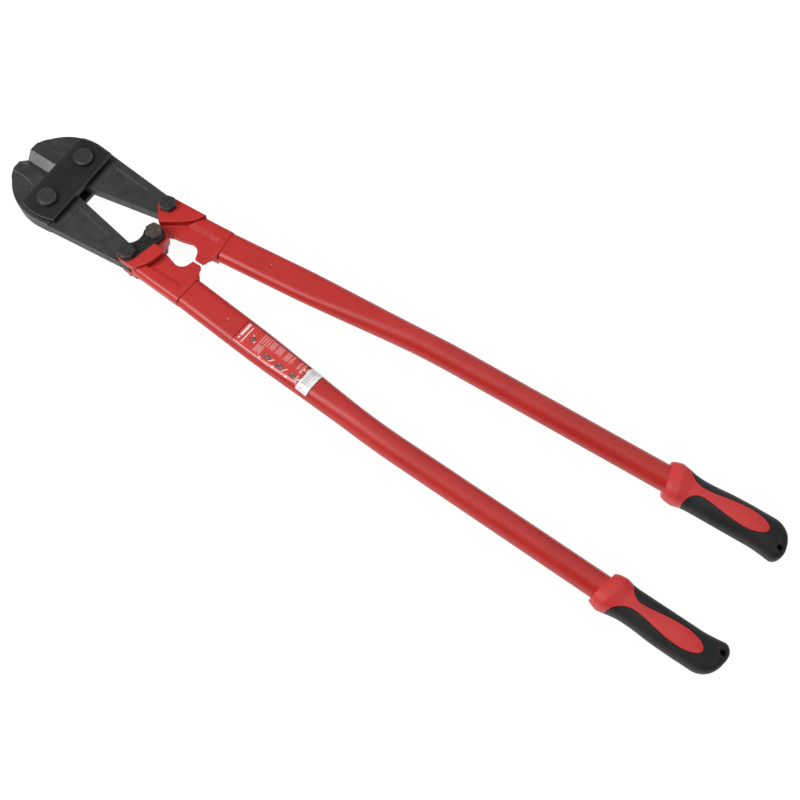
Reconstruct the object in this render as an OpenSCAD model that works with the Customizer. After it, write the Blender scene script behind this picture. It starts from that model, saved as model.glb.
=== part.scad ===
// Long-handled bolt cutters lying flat with the jaws closed.
// Design frame: centre bolt at the origin, +X to the grips, +Z up, handle A at +Y, handle B at -Y.
// place() moves it to the part frame, whose origin is at the middle of the underside.

/* [Linkage] */
// Jaw bolts, distance ahead of the centre bolt
jaw_bolt_x = 124; // [122:0.5:125]
// Jaw bolts, distance from the centre line
jaw_bolt_y = 31; // [30:0.5:32]
// Link bolts, distance ahead of the centre bolt
link_bolt_x = 8.8; // [8.4:0.1:9.2]
// Link bolts, distance from the centre line
link_bolt_y = 35.6; // [35:0.1:36]

/* [Jaws] */
// Thickness of the jaws where the strap plates bear on them
jaw_t = 17; // [16:0.5:18]
// Thickness of the jaw rim outside the raised pad
jaw_rim_t = 15; // [14:0.5:16]
// Thickness of the jaw tails
tail_t = 13; // [12:0.5:13]
// Length of the ground cutting edge
edge_len = 42; // [36:1:46]
// Width of the ground bevel
edge_w = 9.3; // [8:0.1:10]
// Depth of the recess in each tail face
tail_recess = 1.2; // [0.6:0.1:1.6]

/* [Strap plates] */
// Thickness of each strap plate
strap_t = 5.5; // [5:0.5:6]
// Distance from the jaw bolts to a strap plate's front edge
strap_front = 21.2; // [20:0.2:23]
// Distance from the jaw bolts to a strap plate's rear edge
strap_rear = 22.8; // [20:0.2:23]
// Distance of a strap plate's end from the centre line
strap_end_y = 53.3; // [52.5:0.1:54]
// Radius of a strap plate's rounded ends
strap_end_r = 59.5; // [58:0.5:70]

/* [Handle heads] */
// Thickness over both fork cheeks
fork_t = 27; // [26.6:0.1:27.4]
// Thickness of the beam that leads to the tube
beam_t = 17; // [16:0.5:17]
// Thickness of the ledge beside the beam
ledge_t = 13.6; // [13:0.2:15]
// Thickness of the web and the stop lug
web_t = 4; // [3:0.2:8]
// Height of the web's upper face above the middle of the tool
web_top_z = 4.5; // [3:0.1:5]
// Thickness of the centre eye between the link plates
eye_t = 14.8; // [14:0.1:15]
// Outer radius of the centre eye
eye_r = 13.4; // [13:0.1:13.6]
// Radial slack of the centre eye around its bolt
eye_slack = 3.3; // [3.1:0.1:3.5]
// Thickness of a link plate
link_t = 5.9; // [5.7:0.1:5.9]
// Gap between the two stop lugs
lug_gap = 2.8; // [1:0.2:4]

/* [Tubes] */
// Tube diameter at the grips
tube_d = 28; // [27.5:0.5:28]
// Width of the flattened tube at the handle head
oval_w = 36.5; // [36:0.5:37]
// Height of the flattened tube at the handle head
oval_h = 17; // [16.5:0.5:17]
// Wall of the tube
tube_wall = 2; // [1.5:0.1:2.2]
// Angle of the tube to the centre line at the head
tube_angle = 5.3; // [5:0.1:5.6]
// Angle by which the tube bends back towards the centre line
bend_angle = 3.43; // [3:0.01:3.8]
// Length of the evenly flattened stretch
oval_len = 100; // [90:5:110]
// Length of the stretch that turns from flattened to round
blend_len = 130; // [120:5:140]
// Radius of the bend
bend_r = 1000; // [800:50:1200]
// Length from the bend to the grip
straight_len = 234; // [200:2:260]

/* [Grips] */
// Length of the tube inside the grip
grip_socket = 100; // [90:1:104]
// Diameter of the hanging hole
hang_d = 6; // [4:0.5:7]
// Thickness of the grip at the hanging hole
grip_end_t = 25; // [22:0.5:27]

/* [Fasteners] */
// Diameter of the jaw bolt shanks
jaw_bolt_d = 14; // [12:0.5:15]
// Diameter of the round jaw bolt heads
jaw_head_d = 22; // [20:0.5:24]
// Height of the round jaw bolt heads
jaw_head_h = 5; // [4:0.5:6]
// Diameter of the link and centre bolts
link_bolt_d = 10; // [9:0.5:10]
// Width across flats of the hexagon heads and nuts
hex_af = 17; // [16:0.5:17]
// Width across flats of the jaw bolt nuts
jaw_nut_af = 19; // [18:0.5:22]
// Height of the hexagon heads
hex_h = 6.4; // [5.5:0.1:7]
// Height of the nuts
nut_h = 8; // [7:0.5:9]
// Thickness of the washers
washer_t = 2; // [1.5:0.1:2]
// Radial running clearance of the hinge bores
run_gap = 0.05; // [0.02:0.01:0.08]

/* [Label] */
// Distance of the label from the handle head
label_s = 76; // [70:1:80]
// Length of the printed field
label_len = 85; // [70:1:90]
// Length of the pale code tag at its end
tag_len = 17; // [14:1:20]
// Width of the label across the tube
label_w = 27.4; // [24:0.2:28]
// Thickness of the label
label_t = 0.35; // [0.3:0.05:0.5]

/* [Hidden] */
$fn = 64;

forging_dark = [0.22, 0.22, 0.23];
plate_dark = [0.14, 0.14, 0.15];
steel_dark = [0.3, 0.3, 0.31];
paint_red = [0.75, 0.2, 0.18];
plastic_red = [0.85, 0.27, 0.27];
rubber_black = [0.17, 0.17, 0.18];

jaw_pivot = [-jaw_bolt_x, jaw_bolt_y];
link_pivot = [-link_bolt_x, link_bolt_y];
jaw_half = jaw_t / 2;
fork_half = fork_t / 2;
strap_top_z = jaw_half + strap_t;
jaw_gap = 0.1;          // between the two closed cutting edges
edge_land = 0.3;        // half thickness left at the cutting edge
tail_r = 11.3;          // round end of the jaw tail
cheek_r = 11.1;         // round end of the fork cheeks
slot_half = 6.6;        // half the gap between the fork cheeks
link_floor_z = fork_half - link_t;
bolt_end_z = -25;       // free ends of all bolts
nose_c = [-170, 12.4];  // centre of the nose rounding
nose_r = 15.5;
cheekbone_c = [-162.5, 14.5];
cheekbone_r = 23;
shoulder_c = [-126.8, -5.4];
shoulder_r = 62.7;
edge_front_x = -184;
edge_rear_x = edge_front_x + edge_len;
pad_rear_x = -107;      // rear end of the raised pad on a jaw
mouth = [69.5, 33.6];   // middle of the tube's mouth
mouth_dir = [-sin(tube_angle), cos(tube_angle)];
tang_len = 68;
dimple_s = 57;          // crimp dimple, distance from the mouth
grip_axis_s = oval_len + blend_len + 1;
bend_end = [grip_axis_s + bend_r * sin(bend_angle), -bend_r * (1 - cos(bend_angle))];
grip_angle = tube_angle - bend_angle;
bend_overlap = 3;       // the straight stretch starts inside the bend, to make one solid
hang_pos = [128.4, -9.9];
grip_end_c = [112.6, -4.2];
grip_end_r = 22.8;
grip_heel_c = [126.5, -13.3];
grip_heel_r = 8.9;
grip_x = mouth[0] + bend_end[0] * cos(tube_angle) - bend_end[1] * sin(tube_angle)
    + straight_len * cos(grip_angle);
tool_end_x = grip_x + grip_heel_c[0] * cos(grip_angle) - grip_heel_c[1] * sin(grip_angle) + grip_heel_r;
mid_x = (tool_end_x + nose_c[0] - nose_r) / 2;

function arc(c, r, a0, a1, n = 8) = [for (i = [0:n]) c + r * [cos(a0 + (a1 - a0) * i / n),
                                                             sin(a0 + (a1 - a0) * i / n)]];
function flip(points) = [for (i = [len(points) - 1:-1:0]) [points[i][0], -points[i][1]]];

module place() translate([-mid_x, 0, -bolt_end_z]) children();
module side_b() mirror([0, 1, 0]) children();
module slab(t) linear_extrude(t, center = true) children();
module at(p, z = 0) translate([p[0], p[1], z]) children();
module both_faces() { children(); mirror([0, 0, 1]) children(); }

// Jaws

module jaw_outline() {
    polygon(concat(
        [[edge_front_x, jaw_gap / 2], [edge_rear_x, jaw_gap / 2]],
        arc(link_pivot, tail_r, -79.7, 85, 14),
        arc(shoulder_c, shoulder_r, 85, 142, 14),
        arc(cheekbone_c, cheekbone_r, 130, 177, 10),
        arc(nose_c, nose_r, 172, 190, 4)));
}

module jaw_pad_area() {
    polygon([[-190, -1], [-190, 22], [-170, 21.5], [-160, 22.5], [-153, 26], [-149, 32], [-147, 42],
             [-146, 70], [pad_rear_x, 70], [pad_rear_x + 1.5, 40], [pad_rear_x, -1]]);
}

module bevel_cut() {
    translate([edge_front_x - 10, 0, 0]) rotate([90, 0, 90]) linear_extrude(edge_len + 10)
        polygon([[-1, edge_land], [jaw_gap / 2, edge_land], [edge_w, jaw_half],
                 [edge_w + 1, jaw_half + 1], [-1, jaw_half + 1]]);
}

module tail_recess_cut() {
    translate([0, 0, tail_t / 2 - tail_recess]) linear_extrude(5)
        polygon([[-92, 18.5], [-43, 27.3], [-43, 41.5], [-92.5, 44.5]]);
}

module jaw() {
    difference() {
        union() {
            slab(tail_t) jaw_outline();
            slab(jaw_rim_t) intersection() {
                jaw_outline();
                translate([-200, -1]) square([200 + pad_rear_x, 80]);
            }
            slab(jaw_t) intersection() { jaw_outline(); jaw_pad_area(); }
        }
        both_faces() bevel_cut();
        both_faces() tail_recess_cut();
        at(jaw_pivot) cylinder(r = jaw_bolt_d / 2 + run_gap, h = 40, center = true);
        at(link_pivot) cylinder(r = link_bolt_d / 2 + run_gap, h = 40, center = true);
    }
}

// Strap plates

module strap_plate() {
    translate([0, 0, jaw_half]) linear_extrude(strap_t) difference() {
        intersection() {
            translate([-jaw_bolt_x - strap_front, -60]) square([strap_front + strap_rear, 120]);
            translate([-jaw_bolt_x, strap_end_y - strap_end_r]) circle(strap_end_r, $fn = 180);
            translate([-jaw_bolt_x, strap_end_r - strap_end_y]) circle(strap_end_r, $fn = 180);
        }
        at(jaw_pivot) circle(jaw_bolt_d / 2 + 0.02);
        side_b() at(jaw_pivot) circle(jaw_bolt_d / 2 + 0.02);
    }
}

// Fasteners

module round_bolt() {
    chamfer = 0.7;
    rotate_extrude() polygon([
        [0, strap_top_z + jaw_head_h], [jaw_head_d / 2 - 2.4, strap_top_z + jaw_head_h],
        [jaw_head_d / 2 - 2, strap_top_z + jaw_head_h - 0.6],
        [jaw_head_d / 2 - chamfer, strap_top_z + jaw_head_h - 0.6],
        [jaw_head_d / 2, strap_top_z + jaw_head_h - 0.6 - chamfer], [jaw_head_d / 2, strap_top_z],
        [jaw_bolt_d / 2, strap_top_z], [jaw_bolt_d / 2, -strap_top_z], [6, -strap_top_z - 0.01],
        [6, bolt_end_z + 1], [5, bolt_end_z], [0, bolt_end_z]]);
}

module hex_prism(af, h, hole_r = 0) {
    corner = af / cos(30) / 2;
    rise = 0.9;
    difference() {
        intersection() {
            cylinder(r = corner, h = h, $fn = 6);
            rotate_extrude() polygon([[0, 0], [corner + 0.1, 0], [corner + 0.1, h - rise],
                                      [af / 2 - 0.3, h], [0, h]]);
        }
        if (hole_r > 0) translate([0, 0, -1]) cylinder(r = hole_r, h = h + 2);
    }
}

module hex_bolt(turn) {
    translate([0, 0, fork_half]) rotate([0, 0, turn]) hex_prism(hex_af, hex_h);
    translate([0, 0, bolt_end_z + 1]) cylinder(d = link_bolt_d, h = fork_half - bolt_end_z - 1);
    translate([0, 0, bolt_end_z]) cylinder(d1 = link_bolt_d - 2, d2 = link_bolt_d, h = 1);
}

module washer(seat_z, hole_r, outer_r) {
    translate([0, 0, seat_z - washer_t]) difference() {
        cylinder(r = outer_r, h = washer_t);
        translate([0, 0, -1]) cylinder(r = hole_r, h = washer_t + 2);
    }
}

module nut(seat_z, af, hole_r, turn) {
    translate([0, 0, seat_z]) rotate([180, 0, turn]) hex_prism(af, nut_h, hole_r);
}

// Handle heads, drawn for the +Y side

module fork_slot() {
    slab(2 * slot_half) {
        at(link_pivot) circle(tail_r + 0.5);
        polygon([link_pivot + [2.1, -tail_r - 0.3], [-60, 14.5], [-60, 70],
                 [link_pivot[0] + tail_r + 0.5, 70], link_pivot + [tail_r + 0.5, 0]]);
    }
}

module cheek_a_outline() {
    polygon(concat(arc(link_pivot, cheek_r, 218.7, 92, 12),
        [[30, 48.6], [33, 48.9], [29.5, 41.5], [24.5, 34.8], [18.5, 29.4], [-5.3, 13.4]]));
}

module cheek_b_outline() {
    difference() {
        union() {
            at(link_pivot) circle(cheek_r);
            polygon(concat([link_pivot + [0, cheek_r], [6.8, 47]], arc([-24.7, 12.7], 46.4, 47.3, -3.3, 10),
                [[-4, 10], [-14, 20], link_pivot - [cheek_r, 0]]));
        }
        link_bite();
    }
}

module link_bite(grow = 0) translate([-24.7, 12.4]) circle(15.7 - grow);

module link_outline(grow = 0) {
    centre_r = 10.3 + grow;
    end_r = 10 + grow;
    side = atan2(link_pivot[0], link_pivot[1]);
    difference() {
        union() {
            circle(centre_r);
            at(link_pivot) circle(end_r);
            polygon([centre_r * [cos(side), -sin(side)], link_pivot + end_r * [cos(side), -sin(side)],
                     link_pivot - end_r * [cos(side), -sin(side)], -centre_r * [cos(side), -sin(side)]]);
        }
        link_bite(grow);
    }
}

module web_outline(start) {
    lug_y = lug_gap / 2;
    polygon(concat(start, [[30.5, 12.8], [36.3, 14.5]], arc([39.5, 4.2], 11, 100, 10, 6),
        [[51.6, lug_y + 0.8], [52.7, lug_y], [62, lug_y]], arc([75, 3.2], 11, 175, 122, 5),
        [mouth - 18.3 * mouth_dir, [68.5, 40], [20, 40]]));
}

module beam_outline() {
    polygon([[3.5, 47.2], [30, 49.6], mouth + 18.2 * mouth_dir, mouth - 18.1 * mouth_dir,
             [64, 15], [61.5, 35], [3.5, 35]]);
}

// The beam's outer side is rounded
module beam() {
    edge_angle = 3.6;
    edge_r = 6;
    round_y = 18.3 - edge_r;
    intersection() {
        slab(beam_t) beam_outline();
        at(mouth) rotate([0, 0, edge_angle]) translate([-72, 0, 0]) along_x(80) {
            for (s = [-1, 1]) translate([round_y, s * (beam_t / 2 - edge_r)]) circle(edge_r);
            translate([round_y - 40, -beam_t / 2]) square([40, beam_t]);
            translate([round_y - 1, edge_r - beam_t / 2]) square([edge_r + 1, beam_t - 2 * edge_r]);
        }
    }
}

module stadium(w, h) {
    square([w - h, h], center = true);
    for (s = [-1, 1]) translate([s * (w - h) / 2, 0]) circle(h / 2);
}

module along_x(length) rotate([90, 0, 90]) linear_extrude(length) children();

module web_slab() translate([0, 0, web_top_z - web_t]) linear_extrude(web_t) children();

module head_common(start) {
    web_slab() web_outline(start);
    slab(ledge_t) polygon([[18, 32], [61, 32], [61, 38], [18, 38]]);
    beam();
    at(mouth) rotate([0, 0, tube_angle]) translate([-4, 0, 0])
        along_x(tang_len + 4) stadium(oval_w - 2 * tube_wall - 0.2, oval_h - 2 * tube_wall - 0.2);
}

module head_a() {
    difference() {
        union() {
            head_common([[0, 0], [eye_r, 0], [11.5, 10.2], [21.7, 10.8]]);
            slab(fork_t) cheek_a_outline();
            slab(eye_t) circle(eye_r);
            slab(2 * web_top_z)
                polygon([[0, 0], [9, 9.8], [24, 16], [30, 38], [18.5, 29.4], [-5.3, 13.4], [-10.6, 8.2]]);
        }
        fork_slot();
        at(link_pivot) cylinder(r = link_bolt_d / 2 + 0.02, h = 60, center = true);
        cylinder(r = link_bolt_d / 2 + eye_slack, h = 60, center = true);
    }
}

module head_b() {
    difference() {
        union() {
            head_common([[15, 10], [21.6, 10]]);
            slab(fork_t) cheek_b_outline();
        }
        fork_slot();
        slab(2 * link_floor_z) circle(eye_r + eye_slack + 0.4);
        both_faces() translate([0, 0, link_floor_z]) linear_extrude(20) link_outline(0.1);
        at(link_pivot) cylinder(r = link_bolt_d / 2 + 0.02, h = 60, center = true);
    }
}

module link_plate() {
    translate([0, 0, link_floor_z]) linear_extrude(link_t) difference() {
        link_outline();
        circle(link_bolt_d / 2 + 0.02);
        at(link_pivot) circle(link_bolt_d / 2 + 0.02);
    }
}

// Tubes

module tube_form(grow) {
    w = oval_w + 2 * grow;
    h = oval_h + 2 * grow;
    r = tube_d / 2 + grow;
    along_x(oval_len) stadium(w, h);
    hull() {
        translate([oval_len - 0.2, 0, 0]) along_x(0.2) stadium(w, h, $fn = 32);
        translate([grip_axis_s - 1, 0, 0]) along_x(1.2) circle(r, $fn = 32);
    }
    translate([grip_axis_s, -bend_r, 0]) rotate([0, 0, 90 - bend_angle])
        rotate_extrude(angle = bend_angle, $fn = 720) translate([bend_r, 0]) circle(r, $fn = 64);
    at(bend_end) rotate([0, 0, -bend_angle]) translate([-bend_overlap, 0, 0])
        along_x(straight_len + grip_socket + bend_overlap) circle(r);
}

module at_mouth() at(mouth) rotate([0, 0, tube_angle]) children();

module at_grip() at_mouth() at(bend_end) rotate([0, 0, -bend_angle]) translate([straight_len, 0, 0]) children();

module tube() {
    dent_r = 6;
    dent_depth = 1;
    at_mouth() difference() {
        tube_form(0);
        tube_form(-tube_wall);
        for (s = [-1, 1]) translate([dimple_s, 0, s * (oval_h / 2 + dent_r - dent_depth)]) sphere(dent_r);
    }
}

// Grips, in a frame whose X axis is the tube's axis

module grip_plan() {
    polygon(concat(
        [[7.7, -18.2], [0, 16.9], [4, 18.7], [11.3, 20.6], [18.5, 19.3], [26.8, 17.5], [37, 16.8],
         [50.5, 17], [66, 18.3], [86.5, 18.7]],
        arc(grip_end_c, grip_end_r, 78, 0, 8), arc(grip_heel_c, grip_heel_r, 0, -95, 8),
        [[117.4, -20.5], [107, -19.5], [86.5, -19.4], [37, -19.1], [27.8, -19.4], [19.6, -20.9],
         [12.4, -20.1]]));
}

module grip_side() {
    end_half = grip_end_t / 2;
    upper = [[-1, 15], [4, 16.9], [11.3, 18.4], [18.5, 17.4], [27, 16.1], [40, 15.6], [66, 16.2],
             [90, 16.4], [105, 15.6], [118, 13.6], [122.5, end_half], [134, end_half], [136.5, end_half - 3]];
    polygon(concat(upper, flip(upper)));
}

module round_rect(w, h, r) {
    square([w - 2 * r, h], center = true);
    square([w, h - 2 * r], center = true);
    for (x = [-1, 1], y = [-1, 1]) translate([x * (w / 2 - r), y * (h / 2 - r)]) circle(r);
}

module grip_form() {
    intersection() {
        slab(60) grip_plan();
        rotate([90, 0, 0]) linear_extrude(60, center = true) grip_side();
        union() {
            translate([-1, 0, 0]) along_x(28.05) round_rect(42, 37, 15.5);
            translate([27, -1.75, 0]) along_x(113) round_rect(41.2, 33, 13);
        }
    }
}

module core_area() {
    half_lens = [[50, 5], [66, 7.8], [78, 9.5], [88.6, 9.9], [98, 9], [105, 6.7], [110, 3.2], [111.8, 0]];
    polygon(concat([[-5, 30], [18.5, 30], [18.5, 19.5], [21.5, 14], [25.8, 9.9], [31, 5.8], [37, 3.9]],
        half_lens, flip(half_lens), [[37, -3.9], [33, -8.2], [29.5, -13], [28, -19], [28, -30], [-5, -30]]));
}

module grip_socket_cut() translate([-5, 0, 0]) along_x(grip_socket + 5) circle(tube_d / 2 + 0.02);

module grip_core() at_grip() difference() {
    intersection() {
        grip_form();
        slab(60) core_area();
    }
    grip_socket_cut();
}

module grip_sleeve() at_grip() difference() {
    grip_form();
    slab(70) core_area();
    grip_socket_cut();
    at(hang_pos) cylinder(d = hang_d, h = 60, center = true);
}

// Label

module label_piece(s, length) at_mouth() intersection() {
    difference() {
        tube_form(label_t);
        tube_form(0.02);
    }
    translate([s, -label_w / 2, 2]) cube([length, label_w, 30]);
}

// Parts

module jaw_a() color(forging_dark) place() jaw();
module jaw_b() color(forging_dark) place() side_b() jaw();
module strap_top() color(plate_dark) place() strap_plate();
module strap_bottom() color(plate_dark) place() mirror([0, 0, 1]) strap_plate();
module jaw_bolt_a() color(steel_dark) place() at(jaw_pivot) round_bolt();
module jaw_bolt_b() color(steel_dark) place() side_b() at(jaw_pivot) round_bolt();
module jaw_washer() at(jaw_pivot) washer(-strap_top_z, 6.1, 11);
module jaw_washer_a() color(steel_dark) place() jaw_washer();
module jaw_washer_b() color(steel_dark) place() side_b() jaw_washer();
module jaw_nut() at(jaw_pivot) nut(-strap_top_z - washer_t, jaw_nut_af, 6, 10);
module jaw_nut_a() color(steel_dark) place() jaw_nut();
module jaw_nut_b() color(steel_dark) place() side_b() jaw_nut();
module handle_head_a() color(paint_red) place() head_a();
module handle_head_b() color(paint_red) place() side_b() head_b();
module link_plate_top() color(plate_dark) place() side_b() link_plate();
module link_plate_bottom() color(plate_dark) place() side_b() mirror([0, 0, 1]) link_plate();
module link_bolt_a() color(steel_dark) place() at(link_pivot) hex_bolt(12);
module link_bolt_b() color(steel_dark) place() side_b() at(link_pivot) hex_bolt(25);
module link_washer() at(link_pivot) washer(-fork_half, link_bolt_d / 2 + 0.1, 9.5);
module link_washer_a() color(steel_dark) place() link_washer();
module link_washer_b() color(steel_dark) place() side_b() link_washer();
module link_nut() at(link_pivot) nut(-fork_half - washer_t, hex_af, link_bolt_d / 2, 20);
module link_nut_a() color(steel_dark) place() link_nut();
module link_nut_b() color(steel_dark) place() side_b() link_nut();
module centre_bolt() color(steel_dark) place() hex_bolt(6);
module centre_washer() color(steel_dark) place() washer(-fork_half, link_bolt_d / 2 + 0.1, 9.5);
module centre_nut() color(steel_dark) place() nut(-fork_half - washer_t, hex_af, link_bolt_d / 2, 8);
module tube_a() color(paint_red) place() tube();
module tube_b() color(paint_red) place() side_b() tube();
module grip_core_a() color(plastic_red) place() grip_core();
module grip_core_b() color(plastic_red) place() side_b() grip_core();
module grip_sleeve_a() color(rubber_black) place() grip_sleeve();
module grip_sleeve_b() color(rubber_black) place() side_b() grip_sleeve();
module label() color("firebrick") place() side_b() label_piece(label_s, label_len);
module code_tag() color("white") place() side_b() label_piece(label_s + label_len, tag_len);

jaw_a();
jaw_b();
strap_top();
strap_bottom();
jaw_bolt_a();
jaw_bolt_b();
jaw_washer_a();
jaw_washer_b();
jaw_nut_a();
jaw_nut_b();
handle_head_a();
handle_head_b();
link_plate_top();
link_plate_bottom();
link_bolt_a();
link_bolt_b();
link_washer_a();
link_washer_b();
link_nut_a();
link_nut_b();
centre_bolt();
centre_washer();
centre_nut();
tube_a();
tube_b();
grip_core_a();
grip_core_b();
grip_sleeve_a();
grip_sleeve_b();
label();
code_tag();
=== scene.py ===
"""Looks of the long-handled bolt cutters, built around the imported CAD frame.

The scene is in metres. Sizes of the tool are given in mm from the centre bolt and pass through at().
"""

import math

import bmesh
import bpy
from mathutils import Matrix, Vector


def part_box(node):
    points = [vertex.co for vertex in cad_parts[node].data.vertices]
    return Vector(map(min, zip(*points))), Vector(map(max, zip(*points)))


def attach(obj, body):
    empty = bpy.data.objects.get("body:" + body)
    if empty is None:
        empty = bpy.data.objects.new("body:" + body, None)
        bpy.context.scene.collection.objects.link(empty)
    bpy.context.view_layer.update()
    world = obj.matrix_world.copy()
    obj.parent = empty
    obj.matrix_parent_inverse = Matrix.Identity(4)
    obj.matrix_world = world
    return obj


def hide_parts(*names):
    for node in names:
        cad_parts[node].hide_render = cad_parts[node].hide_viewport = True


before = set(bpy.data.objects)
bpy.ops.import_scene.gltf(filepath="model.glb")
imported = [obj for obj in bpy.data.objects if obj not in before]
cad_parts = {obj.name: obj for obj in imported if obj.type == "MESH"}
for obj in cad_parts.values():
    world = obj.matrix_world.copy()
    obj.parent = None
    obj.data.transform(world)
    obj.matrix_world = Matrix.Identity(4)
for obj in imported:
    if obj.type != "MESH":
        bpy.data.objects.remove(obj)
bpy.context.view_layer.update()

MM = 0.001
CENTRE = (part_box("centre_bolt")[0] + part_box("centre_bolt")[1]) / 2
MID_Z = (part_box("jaw_a")[0].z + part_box("jaw_a")[1].z) / 2
ORIGIN = Vector((CENTRE.x, 0, MID_Z))  # the centre bolt, at the middle of the jaws' thickness

# Tubes, in mm, along the axis from the mouth at the handle head
MOUTH = (69.5, 33.6)
TUBE_TILT = math.radians(5.3)
BEND = math.radians(3.43)
BEND_R = 1000
OVAL = (36.5, 17.0)
TUBE_D = 28.0
TUBE_WALL = 2.0
OVAL_LEN = 100
BLEND_END = 231
BEND_LEN = BEND_R * BEND
STRAIGHT_LEN = 234
TUBE_IN_GRIP = 100
GRIP_START = BLEND_END + BEND_LEN + STRAIGHT_LEN
TUBE_LEN = GRIP_START + TUBE_IN_GRIP
DIMPLE_S = 57
MOUTH_GAP = 0.6  # open joint line between the head and the tube


def at(x, y, z):
    """A point given in mm from the centre bolt, in the row frame."""
    return ORIGIN + Vector((x, y, z)) * MM


def lerp(a, b, t):
    return a + (b - a) * t


def ramp(x, x0, x1):
    """0 before x0, 1 after x1, with smooth ends."""
    t = min(max((x - x0) / (x1 - x0), 0), 1)
    return t * t * (3 - 2 * t)


def table_value(points, x):
    """Value at x of a line through points of (x, value)."""
    if x <= points[0][0]:
        return points[0][1]
    for (x0, y0), (x1, y1) in zip(points, points[1:]):
        if x <= x1:
            return lerp(y0, y1, (x - x0) / (x1 - x0))
    return points[-1][1]


def soft_value(points, x, width):
    """table_value with its corners rounded over width."""
    steps = 7
    return sum(table_value(points, x + width * (i / (steps - 1) - 0.5)) for i in range(steps)) / steps


# Materials


def node(tree, kind, **inputs):
    made = tree.nodes.new(kind)
    for name, value in inputs.items():
        setattr(made, name, value)
    return made


def noise(tree, size, detail=3.0, stretch=(1, 1, 1)):
    """Noise with features of that size in metres."""
    coords = node(tree, "ShaderNodeTexCoord")
    mapping = node(tree, "ShaderNodeMapping")
    mapping.inputs["Scale"].default_value = stretch
    made = node(tree, "ShaderNodeTexNoise")
    made.inputs["Scale"].default_value = 1 / size
    made.inputs["Detail"].default_value = detail
    tree.links.new(coords.outputs["Object"], mapping.inputs["Vector"])
    tree.links.new(mapping.outputs["Vector"], made.inputs["Vector"])
    return made.outputs["Fac"]


def remap(tree, value, lo, hi, to_lo, to_hi):
    made = node(tree, "ShaderNodeMapRange")
    for name, number in (("From Min", lo), ("From Max", hi), ("To Min", to_lo), ("To Max", to_hi)):
        made.inputs[name].default_value = number
    tree.links.new(value, made.inputs["Value"])
    return made.outputs["Result"]


def blend(tree, factor, a, b):
    """Colour a where factor is 0 and b where it is 1; a or b may be a colour or a socket."""
    made = node(tree, "ShaderNodeMix", data_type="RGBA")
    tree.links.new(factor, made.inputs["Factor"])
    for socket, value in (("A", a), ("B", b)):
        target = [s for s in made.inputs if s.name == socket and s.type == "RGBA"][0]
        if isinstance(value, tuple):
            target.default_value = (*value, 1)
        else:
            tree.links.new(value, target)
    return [s for s in made.outputs if s.type == "RGBA"][0]


def bump(tree, height, depth, strength, normal=None):
    made = node(tree, "ShaderNodeBump")
    made.inputs["Strength"].default_value = strength
    made.inputs["Distance"].default_value = depth
    tree.links.new(height, made.inputs["Height"])
    if normal:
        tree.links.new(normal, made.inputs["Normal"])
    return made.outputs["Normal"]


def surface(name, tones, mottle, rough, grain, edge=None, worn=None, stretch=(1, 1, 1), **sockets):
    """A procedural finish.

    tones is two colours mixed by noise of size mottle, rough the roughness range, grain a list of
    bumps (size, depth, strength), edge the colour that convex edges turn to, partly wear and partly
    a painted highlight, worn a colour that shows in patches, and sockets constant values for the shader.
    """
    material = bpy.data.materials.new(name)
    material.use_nodes = True
    tree = material.node_tree
    shader = tree.nodes["Principled BSDF"]
    colour = blend(tree, remap(tree, noise(tree, mottle, 4, stretch), 0.35, 0.65, 0, 1), *tones)
    if worn:
        patches = remap(tree, noise(tree, worn[1], 6), worn[2], worn[2] + 0.12, 0, worn[3])
        colour = blend(tree, patches, colour, worn[0])
    # Convex edges lightened by pointiness: partly wear, partly a painted highlight.
    if edge:
        geometry = node(tree, "ShaderNodeNewGeometry")
        sharp = remap(tree, geometry.outputs["Pointiness"], edge[1], edge[2], 0, edge[3])
        colour = blend(tree, sharp, colour, edge[0])
    tree.links.new(colour, shader.inputs["Base Color"])
    patchy = remap(tree, noise(tree, mottle * 0.6, 5, stretch), 0.3, 0.7, *rough)
    tree.links.new(patchy, shader.inputs["Roughness"])
    normal = None
    for size, depth, strength in grain:
        normal = bump(tree, noise(tree, size, 3, stretch), depth, strength, normal)
    tree.links.new(normal, shader.inputs["Normal"])
    for socket, value in sockets.items():
        shader.inputs[socket.replace("_", " ")].default_value = value
    return material


forged = surface("forged_steel", ((0.030, 0.030, 0.031), (0.044, 0.044, 0.045)), 0.012, (0.42, 0.58),
                 [(0.0045, 0.0004, 0.25), (0.0007, 0.00008, 0.5)],
                 edge=((0.24, 0.24, 0.243), 0.51, 0.57, 0.85), Metallic=0.25)
ground = surface("ground_edge", ((0.18, 0.18, 0.18), (0.34, 0.34, 0.34)), 0.0035, (0.34, 0.52),
                 [(0.0009, 0.00004, 0.6)], stretch=(1, 6, 6), Metallic=0.55)
# Jaw B's ground bevel: the same ground steel, painted darker as shade, since it faces away from the key
# light.
ground_in_painted_shade = surface("ground_edge_painted_shade", ((0.030, 0.030, 0.031), (0.050, 0.050, 0.051)), 0.004, (0.45, 0.60),
               [(0.0009, 0.00004, 0.6)], stretch=(1, 6, 6), Metallic=0.4)
plate = surface("black_plate", ((0.008, 0.008, 0.008), (0.012, 0.012, 0.012)), 0.018, (0.44, 0.56),
                [(0.0006, 0.00005, 0.4)], edge=((0.060, 0.060, 0.062), 0.52, 0.60, 0.7),
                Metallic=0.1, Specular_IOR_Level=0.3)
fastener = surface("dark_fastener", ((0.018, 0.018, 0.018), (0.034, 0.033, 0.033)), 0.004, (0.40, 0.60),
                   [(0.0008, 0.00006, 0.5)], edge=((0.15, 0.15, 0.151), 0.515, 0.59, 0.75),
                   worn=((0.060, 0.036, 0.026), 0.006, 0.60, 0.35), Metallic=0.3)
# Lighter finishes for the eased edges of plates and fasteners: painted highlights along the edges.
plate_edge_highlight = surface("plate_edge_painted_highlight", ((0.060, 0.060, 0.061), (0.090, 0.090, 0.092)), 0.004, (0.40, 0.50),
                    [(0.0006, 0.00005, 0.4)], Metallic=0.3)
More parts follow.
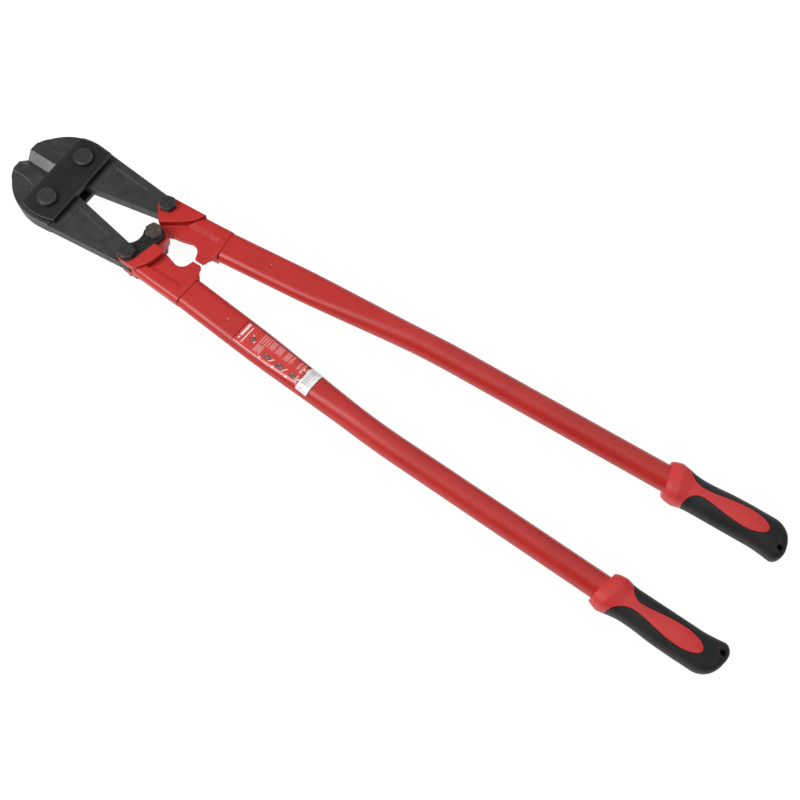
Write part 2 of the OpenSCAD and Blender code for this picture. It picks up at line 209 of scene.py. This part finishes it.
bolt_edge_highlight = surface("bolt_edge_painted_highlight", ((0.050, 0.050, 0.051), (0.075, 0.075, 0.076)), 0.004, (0.40, 0.50),
                   [(0.0006, 0.00005, 0.4)], Metallic=0.3)
rusty = surface("rusty_fastener", ((0.044, 0.038, 0.034), (0.064, 0.052, 0.046)), 0.004, (0.45, 0.65),
                [(0.0008, 0.00008, 0.6)], edge=((0.13, 0.12, 0.11), 0.52, 0.62, 0.6),
                worn=((0.17, 0.075, 0.038), 0.005, 0.50, 0.8), Metallic=0.3)
# Lighter pink on the paint's convex edges: a painted highlight.
paint = surface("red_paint", ((0.47, 0.015, 0.011), (0.53, 0.019, 0.014)), 0.05, (0.36, 0.44),
                [(0.0022, 0.00006, 0.25)], edge=((0.66, 0.10, 0.09), 0.52, 0.60, 0.6))
plastic = surface("red_plastic", ((0.62, 0.030, 0.029), (0.68, 0.036, 0.035)), 0.03, (0.46, 0.54),
                  [(0.0005, 0.00003, 0.5)])
rubber = surface("black_rubber", ((0.013, 0.013, 0.013), (0.019, 0.019, 0.019)), 0.02, (0.52, 0.62),
                 [(0.0004, 0.00004, 0.6)], Specular_IOR_Level=0.35)
film = surface("label_film", ((0.58, 0.026, 0.020), (0.64, 0.034, 0.026)), 0.02, (0.16, 0.24),
               [(0.006, 0.00008, 0.3)])
border_ink = surface("label_border", ((0.040, 0.008, 0.008), (0.056, 0.012, 0.012)), 0.01, (0.20, 0.28),
                     [(0.006, 0.00008, 0.3)])
white_ink = surface("label_white", ((0.74, 0.62, 0.60), (0.84, 0.74, 0.72)), 0.004, (0.18, 0.26),
                    [(0.006, 0.00008, 0.3)])
faint_ink = surface("label_faint", ((0.68, 0.28, 0.26), (0.76, 0.37, 0.35)), 0.002, (0.18, 0.26),
                    [(0.006, 0.00008, 0.3)])
grey_ink = surface("label_grey", ((0.040, 0.030, 0.028), (0.20, 0.12, 0.11)), 0.002, (0.18, 0.26),
                   [(0.006, 0.00008, 0.3)])
# Near black for the wall of the hang hole: painted shade inside the hole.
hole_painted_shade = surface("hang_hole_painted_shade", ((0.002, 0.002, 0.002), (0.004, 0.004, 0.004)), 0.002, (0.80, 0.90),
               [(0.0004, 0.00004, 0.4)], Specular_IOR_Level=0.1)
paper = surface("tag_paper", ((0.84, 0.84, 0.84), (0.90, 0.90, 0.90)), 0.006, (0.30, 0.42),
                [(0.0008, 0.00002, 0.4)])
bar_ink = surface("tag_bars", ((0.34, 0.34, 0.35), (0.46, 0.46, 0.47)), 0.003, (0.30, 0.42),
                  [(0.0008, 0.00002, 0.4)])

# Mesh tools


def add_object(name, mesh, materials=()):
    made = bpy.data.objects.new(name, mesh)
    bpy.context.scene.collection.objects.link(made)
    for material in materials:
        mesh.materials.append(material)
    return made


def mesh_of(name, verts, faces, smooth=True):
    mesh = bpy.data.meshes.new(name)
    mesh.from_pydata([tuple(v) for v in verts], [], faces)
    mesh.update()
    bm = bmesh.new()
    bm.from_mesh(mesh)
    bmesh.ops.recalc_face_normals(bm, faces=bm.faces)
    bm.to_mesh(mesh)
    bm.free()
    mesh.polygons.foreach_set("use_smooth", [smooth] * len(mesh.polygons))
    return mesh


def rings_mesh(name, rings, closed=False):
    """A skin over rings of equally many points.

    closed joins the last ring to the first; otherwise both ends get a cap.
    """
    count = len(rings[0])
    verts = [p for ring in rings for p in ring]
    rows = len(rings)
    faces = []
    for i in range(rows if closed else rows - 1):
        a, b = i * count, (i + 1) % rows * count
        faces += [(a + j, a + (j + 1) % count, b + (j + 1) % count, b + j) for j in range(count)]
    if not closed:
        faces += [tuple(range(count)), tuple(range((rows - 1) * count, rows * count))]
    return mesh_of(name, verts, faces)


def bake(obj, name):
    """obj's mesh with its modifiers applied, as a new mesh."""
    graph = bpy.context.evaluated_depsgraph_get()
    mesh = bpy.data.meshes.new_from_object(obj.evaluated_get(graph), depsgraph=graph)
    mesh.name = name
    return mesh


def remove(*objs):
    for obj in objs:
        bpy.data.objects.remove(obj)


def mirrored(mesh, name):
    """The same mesh on the other handle, at -Y."""
    copy = mesh.copy()
    copy.name = name
    copy.transform(Matrix.Scale(-1, 4, (0, 1, 0)))
    copy.flip_normals()
    return copy


def boolean(obj, other, operation):
    modifier = obj.modifiers.new(operation.lower(), "BOOLEAN")
    modifier.operation = operation
    modifier.solver = "EXACT"
    modifier.object = other
    if len(other.data.materials):
        modifier.material_mode = "TRANSFER"


def put(name, mesh, body, node_names, materials=()):
    """A finished piece in place of CAD nodes."""
    obj = add_object(name, mesh, materials)
    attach(obj, body)
    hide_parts(*node_names)
    return obj


def smooth_by_angle(mesh, degrees):
    """Smooth shading that keeps edges sharper than the angle."""
    bm = bmesh.new()
    bm.from_mesh(mesh)
    limit = math.radians(degrees)
    for edge in bm.edges:
        edge.smooth = len(edge.link_faces) == 2 and edge.calc_face_angle(0) < limit
    for face in bm.faces:
        face.smooth = True
    bm.to_mesh(mesh)
    bm.free()


def forging(node_name, voxel, passes, keep):
    """A copy of a CAD node as a forging: remeshed, with its corners rounded off by smoothing."""
    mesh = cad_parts[node_name].data.copy()
    obj = add_object("work", mesh)
    weld = obj.modifiers.new("weld", "WELD")
    weld.merge_threshold = 0.00001
    remesh = obj.modifiers.new("remesh", "REMESH")
    remesh.mode = "VOXEL"
    remesh.voxel_size = voxel
    soften = obj.modifiers.new("soften", "SMOOTH")
    soften.factor = 0.5
    soften.iterations = passes
    thin = obj.modifiers.new("thin", "DECIMATE")
    thin.ratio = keep
    result = bake(obj, node_name + "_forging")
    remove(obj)
    result.materials.clear()
    result.polygons.foreach_set("use_smooth", [True] * len(result.polygons))
    return result


def prism(name, outline, x0, x1, material):
    """A bar along X from x0 to x1 mm whose cross-section is outline, (y, z) in mm."""
    rings = [[at(x, y, z) for y, z in outline] for x in (x0, x1)]
    return add_object(name, rings_mesh(name, rings), [material])


# Jaws: rounded forgings with a crisp ground bevel

EDGE_FRONT_X, EDGE_REAR_X = -184, -142
EDGE_W = 9.3
EDGE_LAND = 0.22  # half thickness of the cutting edge
GRIND = 0.12  # the bevel is ground this much below the forging
jaw_half = (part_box("jaw_a")[1].z - MID_Z) / MM


def bevel_tool(sign):
    """Cuts the ground bevel on the upper (1) or the lower (-1) face."""
    outline = [(-1.5, EDGE_LAND), (GRIND, EDGE_LAND), (EDGE_W, jaw_half - GRIND),
               (EDGE_W + 1.4, jaw_half + 1), (-1.5, jaw_half + 1)]
    return prism("grind", [(y, sign * z) for y, z in outline], EDGE_FRONT_X - 10, EDGE_REAR_X, ground)


def edge_bar():
    """Fills the cutting edge that the remeshing rounds off; the bevel tools then cut it sharp."""
    outline = [(0.05, -0.3), (3.5, -3.6), (3.5, 3.6), (0.05, 0.3)]
    return prism("edge_bar", outline, EDGE_FRONT_X + 0.4, EDGE_REAR_X + 0.1, forged)


def jaw_mesh():
    work = add_object("jaw_work", forging("jaw_a", 0.00045, 2, 0.4), [forged])
    bar = edge_bar()
    boolean(work, bar, "UNION")
    tools = [bevel_tool(1), bevel_tool(-1), bar]
    for tool in tools[:2]:
        boolean(work, tool, "DIFFERENCE")
    mesh = bake(work, "jaw_a_forged")
    remove(work, *tools)
    smooth_by_angle(mesh, 40)
    return mesh


jaw = jaw_mesh()
put("jaw_a_forged", jaw, "jaw_a", ["jaw_a"])
jaw_b = mirrored(jaw, "jaw_b_forged")
# Jaw B's bevel takes the darker copy of the ground finish: painted shade.
jaw_b.materials[list(jaw_b.materials).index(ground)] = ground_in_painted_shade
put("jaw_b_forged", jaw_b, "jaw_b", ["jaw_b"])

# Handle heads

for side in "ab":
    head = forging("handle_head_" + side, 0.00045, 2, 0.4)
    put(f"handle_head_{side}_forged", head, "handle_" + side, ["handle_head_" + side], [paint])

# Plates and fasteners: the CAD shapes with eased edges


def eased(node_name, body, width, material, rim):
    """A copy of a CAD node whose sharp edges are rounded over width; the rounded faces take the rim finish,
    a painted highlight along the edges.
    """
    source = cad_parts[node_name].data
    mesh = bpy.data.meshes.new(node_name + "_plain")
    mesh.from_pydata([v.co[:] for v in source.vertices], [], [p.vertices[:] for p in source.polygons])
    work = add_object("work", mesh)
    weld = work.modifiers.new("weld", "WELD")
    weld.merge_threshold = 0.00001
    flat = work.modifiers.new("flat", "DECIMATE")
    flat.decimate_type = "DISSOLVE"
    flat.angle_limit = math.radians(0.6)
    flat_mesh = bake(work, node_name + "_eased")
    remove(work)
    smooth_by_angle(flat_mesh, 25)
    obj = put(node_name + "_eased", flat_mesh, body, [node_name], [material, rim])
    bevel = obj.modifiers.new("ease", "BEVEL")
    bevel.width = width
    bevel.segments = 3
    # The eased faces take the lighter second finish: a painted edge highlight.
    bevel.material = 1
    bevel.limit_method = "ANGLE"
    bevel.angle_limit = math.radians(25)
    even = obj.modifiers.new("even", "WEIGHTED_NORMAL")
    even.keep_sharp = False


for name in ("strap_top", "strap_bottom"):
    eased(name, "strap", 0.0006, plate, plate_edge_highlight)
for name in ("link_plate_top", "link_plate_bottom"):
    eased(name, "handle_b", 0.0005, plate, plate_edge_highlight)
for side in "ab":
    for part in ("bolt", "washer", "nut"):
        eased(f"jaw_{part}_{side}", "strap", 0.00025, fastener, bolt_edge_highlight)
        eased(f"link_{part}_{side}", "handle_" + side, 0.00025, fastener, bolt_edge_highlight)
for part in ("washer", "nut"):
    eased("centre_" + part, "handle_b", 0.00025, fastener, bolt_edge_highlight)
eased("centre_bolt", "handle_b", 0.00025, rusty, bolt_edge_highlight)

# Tubes


def tube_axis(s):
    """Point and direction of a tube's axis at s mm from the mouth, for the handle at +Y."""
    if s <= BLEND_END:
        x, y, turn = s, 0, 0
    else:
        turn = min((s - BLEND_END) / BEND_R, BEND)
        rest = max(s - BLEND_END - BEND_LEN, 0)
        x = BLEND_END + BEND_R * math.sin(turn) + rest * math.cos(turn)
        y = -BEND_R * (1 - math.cos(turn)) - rest * math.sin(turn)
    c, d = math.cos(TUBE_TILT), math.sin(TUBE_TILT)
    return MOUTH[0] + c * x - d * y, MOUTH[1] + d * x + c * y, TUBE_TILT - turn


def tube_section(s):
    """Width and height of the tube at s."""
    t = ramp(s, OVAL_LEN - 12, BLEND_END + 6)
    t = lerp(min(max((s - OVAL_LEN) / (BLEND_END - OVAL_LEN), 0), 1), t, 0.5)
    return lerp(OVAL[0], TUBE_D, t), lerp(OVAL[1], TUBE_D, t)


def on_section(w, h, turn):
    """A point of the flattened section, at turn 0 to 1 of the way round it, with its outward normal."""
    flat = w - h
    around = 2 * flat + math.pi * h
    walk = turn * around
    quarter = math.pi * h / 4
    if walk < flat / 2:
        return (walk, h / 2), (0, 1)
    walk -= flat / 2
    if walk < 2 * quarter:
        a = math.pi / 2 - walk / (h / 2)
        return (flat / 2 + h / 2 * math.cos(a), h / 2 * math.sin(a)), (math.cos(a), math.sin(a))
    walk -= 2 * quarter
    if walk < flat:
        return (flat / 2 - walk, -h / 2), (0, -1)
    walk -= flat
    if walk < 2 * quarter:
        a = -math.pi / 2 - walk / (h / 2)
        return (-flat / 2 + h / 2 * math.cos(a), h / 2 * math.sin(a)), (math.cos(a), math.sin(a))
    walk -= 2 * quarter
    return (-flat / 2 + walk, h / 2), (0, 1)


def dimple(s, y):
    """How far the crimp dimple pushes the tube's flat in, with the low rim it raises."""
    r = math.hypot(s - DIMPLE_S, y)
    return 0.95 * (1 - ramp(r, 0.4, 2.9)) - 0.12 * ramp(r, 2.2, 3.2) * (1 - ramp(r, 3.4, 5.2))


def tube_ring(s, inset, count):
    x, y, turn = tube_axis(s)
    w, h = tube_section(s)
    w, h = w - 2 * inset, h - 2 * inset
    ring = []
    for i in range(count):
        (v, z), (_, nz) = on_section(w, h, i / count)
        push = dimple(s, v) if abs(s - DIMPLE_S) < 7 and abs(nz) > 0.98 and inset < 1 else 0
        z -= push * nz
        ring.append(at(x - v * math.sin(turn), y + v * math.cos(turn), z))
    return ring


def stations(length):
    """Places of the rings along the tube, dense around the dimple."""
    fine = [DIMPLE_S - 6 + 0.5 * i for i in range(25)]
    coarse = [4 * i for i in range(1, int(length / 4) + 1)]
    plain = [s for s in coarse if abs(s - DIMPLE_S) > 6.3]
    return sorted(set([MOUTH_GAP + 0.4, MOUTH_GAP + 1.2] + fine + plain + [length]))


def tube_mesh():
    count = 132
    outer = stations(TUBE_LEN)
    inner = [TUBE_LEN, GRIP_START, BLEND_END, 190, 160, 130, OVAL_LEN, 50, 10, MOUTH_GAP + 0.4]
    rings = [tube_ring(MOUTH_GAP, 0.35, count), tube_ring(MOUTH_GAP + 0.12, 0.12, count)]
    rings += [tube_ring(s, 0, count) for s in outer]
    rings += [tube_ring(s, TUBE_WALL, count) for s in inner]
    rings += [tube_ring(MOUTH_GAP, TUBE_WALL - 0.35, count)]
    mesh = rings_mesh("tube", rings, closed=True)
    smooth_by_angle(mesh, 50)
    return mesh


tube = tube_mesh()
put("tube_a_drawn", tube, "handle_a", ["tube_a"], [paint])
put("tube_b_drawn", mirrored(tube, "tube_b_drawn"), "handle_b", ["tube_b"])

# Grips, in a frame (u, v, z) whose u axis is the tube's axis from the grip's start

TOP_SIDE = [(0, 16.9), (4, 18.7), (11.3, 20.6), (18.5, 19.3), (26.8, 17.5), (37, 16.8), (50.5, 17),
            (66, 18.3), (86.5, 18.7), (100, 18.5), (112.6, 18.2)]
LOW_SIDE = [(7.7, -18.2), (12.4, -20.1), (19.6, -20.9), (27.8, -19.4), (37, -19.1), (86.5, -19.4),
            (107, -19.5), (117.4, -20.5), (126.5, -22.2)]
HEIGHT = [(0, 15), (4, 16.9), (11.3, 18.4), (18.5, 17.4), (27, 16.1), (40, 15.6), (66, 16.2), (90, 16.4),
          (105, 15.6), (118, 13.6), (123, 12.5), (140, 12.5)]
END_TOP = (112.6, -4.2, 22.4)  # centre and radius of the grip's end towards the outside
END_LOW = (126.5, -13.3, 8.9)  # and of its heel
GRIP_END = END_LOW[0] + END_LOW[2]
SLANT = 0.2194  # the collar's front is cut askew
HANG_HOLE = (128.4, -9.9, 3.0)
LENS = [(50, 5), (66, 7.8), (78, 9.5), (88.6, 9.9)]  # half widths of the core's window, then half an ellipse
LENS_TIP = 111.8
COLLAR_END = 18.5  # where the collar meets the sleeve on the outer side
NECK_TOP = [(COLLAR_END, 19.5), (21.5, 14), (25.8, 9.9), (31, 6.4), (39, 4.4), (50, 5)]
NECK_LOW = [(28, -30), (28, -19), (29.5, -13), (33, -8.2), (40, -4.6), (50, -5)]


def grip_point(u, v, z):
    x, y, turn = tube_axis(GRIP_START)
    c, d = math.cos(turn), math.sin(turn)
    return at(x + c * u - d * v, y + d * u + c * v, z)


def grip_sides(u_top, u_low):
    if u_top < END_TOP[0]:
        top = soft_value(TOP_SIDE, u_top, 1.8 if u_top < 24 else 8.0)
    else:
        top = END_TOP[1] + math.sqrt(max(END_TOP[2] ** 2 - (u_top - END_TOP[0]) ** 2, 0))
    if u_low < END_LOW[0]:
        low = soft_value(LOW_SIDE, u_low, 1.8 if u_low < 30 else 8.0)
    else:
        low = END_LOW[1] - math.sqrt(max(END_LOW[2] ** 2 - (u_low - END_LOW[0]) ** 2, 0))
    return top, low


def grip_ring(u, raise_by, count):
    """One ring of the grip; raise_by lifts the whole surface."""
    slant = SLANT * (1 - ramp(u, 15, 34))
    u_top, u_low = u - slant * 17.5, u + slant * 18.2
    top, low = grip_sides(u_top, u_low)
    half = (top - low) / 2
    middle = (top + low) / 2
    height = soft_value(HEIGHT, u - 4 * slant / SLANT, 1.6 if u < 30 else 6)
    height -= 5 * (1 - math.sqrt(max(1 - ramp(u, 125, GRIP_END + 0.5) ** 2, 0)))
    power = 2 / lerp(lerp(2.8, 2.25, ramp(u, 18, 36)), 2.9, ramp(u, 100, 125))
    lift = raise_by * ramp(u, 24, 40)
    ring = []
    for i in range(count):
        a = 2 * math.pi * i / count
        c, d = math.cos(a), math.sin(a)
        v = (half + lift) * math.copysign(abs(c) ** power, c)
        z = (height + lift) * math.copysign(abs(d) ** power, d)
        ring.append(grip_point(u - slant * v, middle + v, z))
    return ring


def grip_form(name, raise_by, material):
    count = 112
    us = [3.85 + 0.9 * i for i in range(40)] + [40 + 2.2 * i for i in range(37)]
    tail = [GRIP_END - (GRIP_END - 121.5) * (1 - math.sin(math.pi / 2 * i / 16)) for i in range(17)]
    us = [u for u in us if u < 121] + tail
    rings = [grip_ring(min(u, GRIP_END - 0.002), raise_by, count) for u in us]
    return add_object(name, rings_mesh(name, rings), [material])


def core_prism(grow):
    """The area of the hard red core seen from above, through the whole grip."""
    u0, half = LENS[-1]
    upper = [(50 + 1.2 * i, soft_value(LENS + [(100, half)], 50 + 1.2 * i, 6) + grow) for i in range(30)]
    for i in range(17):
        a = math.pi / 2 * i / 16
        upper.append((u0 + (LENS_TIP - u0 + grow) * math.sin(a), (half + grow) * math.cos(a)))
    lower = [(u, -v) for u, v in upper[:-1]]
    collar_corners = [(-8, 32), (COLLAR_END + grow, 32), (COLLAR_END + grow, 19.5)]
    upper = collar_corners + neck(NECK_TOP, grow) + upper
    lower = [(-8, -32), (28 + grow, -32)] + neck(NECK_LOW, grow) + lower
    rings = [[grip_point(u, v, z) for u, v in upper + lower[::-1]] for z in (-30, 30)]
    return add_object("core_prism", rings_mesh("core_prism", rings))


def neck(points, grow):
    """A rounded line through points, moved by grow away from the core."""
    made = []
    for i in range(28):
        t = (i + 0.5) / 28 * (len(points) - 1)
        k = min(int(t), len(points) - 2)
        p = [points[max(min(j, len(points) - 1), 0)] for j in (k - 1, k, k + 1, k + 2)]
        f = t - k
        u, v = (0.5 * (2 * p[1][a] + (p[2][a] - p[0][a]) * f
                       + (2 * p[0][a] - 5 * p[1][a] + 4 * p[2][a] - p[3][a]) * f * f
                       + (3 * p[1][a] - p[0][a] - 3 * p[2][a] + p[3][a]) * f ** 3) for a in (0, 1))
        made.append((u + grow * 0.7, v + math.copysign(grow * 0.7, v)))
    return made


def rod(name, centre_uv, radius, z0, z1, material, count=64):
    """A round bar through the grip along Z."""
    u0, v0 = centre_uv
    turns = [2 * math.pi * i / count for i in range(count)]
    rings = [[grip_point(u0 + radius * math.cos(a), v0 + radius * math.sin(a), z) for a in turns]
             for z in (z0, z1)]
    return add_object(name, rings_mesh(name, rings), [material])


def socket_tool():
    """The space inside the grip that the tube fills."""
    count = 96
    radius = TUBE_D / 2 + 0.04
    turns = [2 * math.pi * i / count for i in range(count)]
    rings = [[grip_point(u, radius * math.cos(a), radius * math.sin(a)) for a in turns]
             for u in (-6, TUBE_IN_GRIP)]
    return add_object("socket", rings_mesh("socket", rings))


def grip_meshes():
    core, sleeve = grip_form("core_work", 0.05, plastic), grip_form("sleeve_work", 0, rubber)
    inside, outside, socket = core_prism(0), core_prism(0.6), socket_tool()
    # The cutter passes its near-black finish to the hole's wall: painted shade.
    hole = rod("hole", HANG_HOLE[:2], HANG_HOLE[2], -30, 30, hole_painted_shade)
    boolean(core, inside, "INTERSECT")
    boolean(core, socket, "DIFFERENCE")
    boolean(sleeve, outside, "DIFFERENCE")
    boolean(sleeve, socket, "DIFFERENCE")
    boolean(sleeve, hole, "DIFFERENCE")
    meshes = bake(core, "grip_core"), bake(sleeve, "grip_sleeve")
    remove(core, sleeve, inside, outside, socket, hole)
    for mesh in meshes:
        smooth_by_angle(mesh, 40)
    return meshes


core_mesh, sleeve_mesh = grip_meshes()
grip_parts = [("grip_core", core_mesh, "red_plastic"), ("grip_sleeve", sleeve_mesh, "black_rubber")]
for side in "ab":
    for part, mesh, slot in grip_parts:
        name = f"{part}_{side}_moulded"
        own = mesh.copy() if side == "a" else mirrored(mesh, name)
        own.name = name
        put(name, own, "handle_" + side, [f"{part}_{side}"])

# Label: a curved film on tube B with generic marks, and a pale tag with bars at its end

LABEL_S, LABEL_LEN, TAG_LEN = 75.5, 86.5, 16.5
LABEL_IN, LABEL_OUT = 14.9, 13.9  # reach across the tube, towards the other handle and away from it
LABEL_W = LABEL_IN + LABEL_OUT
BORDER = 1.0
RED, DARK, WHITE, FAINT, GREY = range(5)  # order of the label's materials


def stripes(s0, s1, v0, v1, ink, pitch, width, ragged=0.0):
    """Bars across the tube from s0 to s1; every other one is shorter by ragged."""
    count = int((s1 - s0 - width) / pitch) + 1
    return [(s0 + pitch * i, s0 + pitch * i + width, v0, v1 - ragged * (i % 2), ink) for i in range(count)]


def label_marks():
    """Rectangles (s0, s1, v0, v1, ink) in mm from the label's corner; v runs across the tube, outwards."""
    marks = [(0, LABEL_LEN, 0, BORDER, DARK), (0, LABEL_LEN, LABEL_W - 0.5, LABEL_W, DARK),
             (0, BORDER, 0, LABEL_W, DARK)]
    marks += [(LABEL_LEN - 6 + i, LABEL_LEN - 5 + i, 0, 1.2 + 0.16 * i * i, DARK) for i in range(6)]
    marks += [(3.4, 6.2, 3.0, 18.9, WHITE), (3.8, 5.6, 20.4, 23.2, WHITE), (9.3, 10.5, 4.4, 25.0, WHITE)]
    marks += [(16.4, 20.8, 11.8, 16.6, GREY), (15.6, 17.0, 10.2, 12.0, WHITE),
              (20.8, 22.2, 15.4, 17.6, WHITE)]
    marks += stripes(25.4, 36.4, 2.2, 14.4, FAINT, 3.0, 1.1, 1.4)
    marks += stripes(25.4, 34.8, 15.0, 25.0, FAINT, 1.8, 1.1, 1.8)
    for s0, s1 in ((37.6, 44.6), (46, 53.4), (57.6, 63.4), (65.2, 69.2), (75.6, 78.8), (80.2, 82.8)):
        marks += stripes(s0, s1, 2.4, 13.0, FAINT, 1.6, 0.85, 1.5)
    for s0 in (38, 56, 74):
        marks += [(s0, s0 + 4, 18, 23.4, GREY), (s0 + 4.7, s0 + 9, 18.6, 23.8, GREY),
                  (s0 + 1.2, s0 + 2.6, 19, 20.4, FAINT), (s0 + 6, s0 + 7, 21, 22.6, FAINT),
                  (s0 - 2.4, s0 - 0.4, 24.8, 26.8, WHITE)]
        marks += [(s0 + 9 + 0.8 * i, s0 + 10.4 + 0.8 * i, 22.6 - i, 23.8 - i, WHITE) for i in range(5)]
    marks += [(82.4, 84.6, 7.4, 9.4, WHITE), (80.8, 83.4, 11.4, 14.6, FAINT), (82, 84, 17, 23.5, FAINT)]
    return marks


def tag_marks():
    marks = [(0, TAG_LEN, 0, 0.6, DARK), (TAG_LEN - 0.7, TAG_LEN, 0, LABEL_W, DARK)]
    v = 3.6
    for i in range(18):
        marks.append((3.0 + 0.4 * (i % 2), 9.6 - 0.4 * (i % 3 == 0), v, v + (0.35, 0.6, 0.45)[i % 3], WHITE))
        v += 1.0
    marks += [(1.4, 1.9, 6, 16, WHITE), (11.2, 11.6, 5, 21, WHITE), (5.4, 7.0, 25.2, 26.6, WHITE)]
    return marks


def label_mesh(name, s0, length, marks):
    """A curved sheet on tube A's top, mirrored to tube B; each face takes the last mark that covers it."""
    s_even = {3.0 * i for i in range(int(length / 3) + 1)}
    v_even = {0.9 * i for i in range(31)}
    s_cuts = sorted({0, length} | {m[0] for m in marks} | {m[1] for m in marks} | s_even)
    v_cuts = sorted({0, LABEL_W} | {m[2] for m in marks} | {m[3] for m in marks} | v_even)
    lift = 0.3
    bm = bmesh.new()
    grid = []
    for s in s_cuts:
        x, y, turn = tube_axis(s0 + s)
        w, h = tube_section(s0 + s)
        row = []
        for cut in v_cuts:
            v = cut - LABEL_IN
            over = min(max(abs(v) - (w - h) / 2, 0), h / 2)
            z = math.sqrt((h / 2 + lift) ** 2 - over ** 2)
            row.append(bm.verts.new(at(x - v * math.sin(turn), y + v * math.cos(turn), z)))
        grid.append(row)
    for i in range(len(s_cuts) - 1):
        for j in range(len(v_cuts) - 1):
            face = bm.faces.new((grid[i][j], grid[i + 1][j], grid[i + 1][j + 1], grid[i][j + 1]))
            s_mid, v_mid = (s_cuts[i] + s_cuts[i + 1]) / 2, (v_cuts[j] + v_cuts[j + 1]) / 2
            hits = [m[4] for m in marks if m[0] < s_mid < m[1] and m[2] < v_mid < m[3]]
            face.material_index = hits[-1] if hits else RED
            face.smooth = True
    mesh = bpy.data.meshes.new(name)
    bm.to_mesh(mesh)
    bm.free()
    return mirrored(mesh, name)


def put_label(name, node_name, s0, length, marks, materials):
    obj = put(name, label_mesh(name, s0, length, marks), "handle_b", [node_name], materials)
    thick = obj.modifiers.new("thick", "SOLIDIFY")
    thick.thickness = 0.00022
    thick.offset = -1


put_label("label_film", "label", LABEL_S, LABEL_LEN, label_marks(),
          [film, border_ink, white_ink, faint_ink, grey_ink])
put_label("code_tag_paper", "code_tag", LABEL_S + LABEL_LEN, TAG_LEN, tag_marks(),
          [paper, border_ink, bar_ink])

# Stage, light and camera

floor_material = surface("floor", ((0.15, 0.15, 0.15), (0.16, 0.16, 0.16)), 0.5, (0.9, 0.95),
                         [(0.002, 0.00001, 0.1)])
floor_verts = [(-6, -6, 0), (6, -6, 0), (6, 6, 0), (-6, 6, 0)]
floor = add_object("floor", mesh_of("floor", floor_verts, [(0, 1, 2, 3)]), [floor_material])
floor.location.z = -0.0005  # clear of the tool's lowest faces
floor_shader = floor_material.node_tree.nodes["Principled BSDF"]
floor_shader.inputs["Emission Color"].default_value = (1, 1, 1, 1)
floor_shader.inputs["Emission Strength"].default_value = 0.93


def softbox(name, target, azimuth, elevation, distance, size, power):
    """A rectangular light that looks at target; azimuth 0 is on the -Y side and 90 on the +X side."""
    light = bpy.data.lights.new(name, "AREA")
    light.shape = "RECTANGLE"
    light.size, light.size_y = size
    light.energy = power
    obj = bpy.data.objects.new(name, light)
    a, e = math.radians(azimuth), math.radians(elevation)
    away = Vector((math.sin(a) * math.cos(e), -math.cos(a) * math.cos(e), math.sin(e)))
    obj.location = target + away * distance
    obj.rotation_euler = away.to_track_quat("Z", "Y").to_euler()
    bpy.context.scene.collection.objects.link(obj)


softbox("front", at(0, 0, 0), -38, 50, 1.7, (0.7, 0.9), 22)
softbox("back", at(272, 0, 0), 180, 40, 1.8, (1.5, 1.4), 6)
softbox("overhead", at(472, 0, 0), 0, 88, 1.8, (2.4, 1.6), 13)

world = bpy.data.worlds.new("studio")
world.use_nodes = True
world.node_tree.nodes["Background"].inputs["Color"].default_value = (0.95, 0.97, 1, 1)
world.node_tree.nodes["Background"].inputs["Strength"].default_value = 0.13
bpy.context.scene.world = world
bpy.context.scene.view_settings.view_transform = "Standard"

CAMERA_AT = (551.16, -371.28, 1049.07)
LOOK_AT = (326.55, -11.00, 0)
ROLL = math.radians(1.6078)
camera_data = bpy.data.cameras.new("camera")
camera_data.lens = 49.277
camera_data.sensor_width = 36
camera = bpy.data.objects.new("camera", camera_data)
camera.location = at(*CAMERA_AT)
aim = (at(*LOOK_AT) - camera.location).to_track_quat("-Z", "Y")
camera.rotation_euler = (aim.to_matrix() @ Matrix.Rotation(ROLL, 3, "Z")).to_euler()
bpy.context.scene.collection.objects.link(camera)
bpy.context.scene.camera = camera
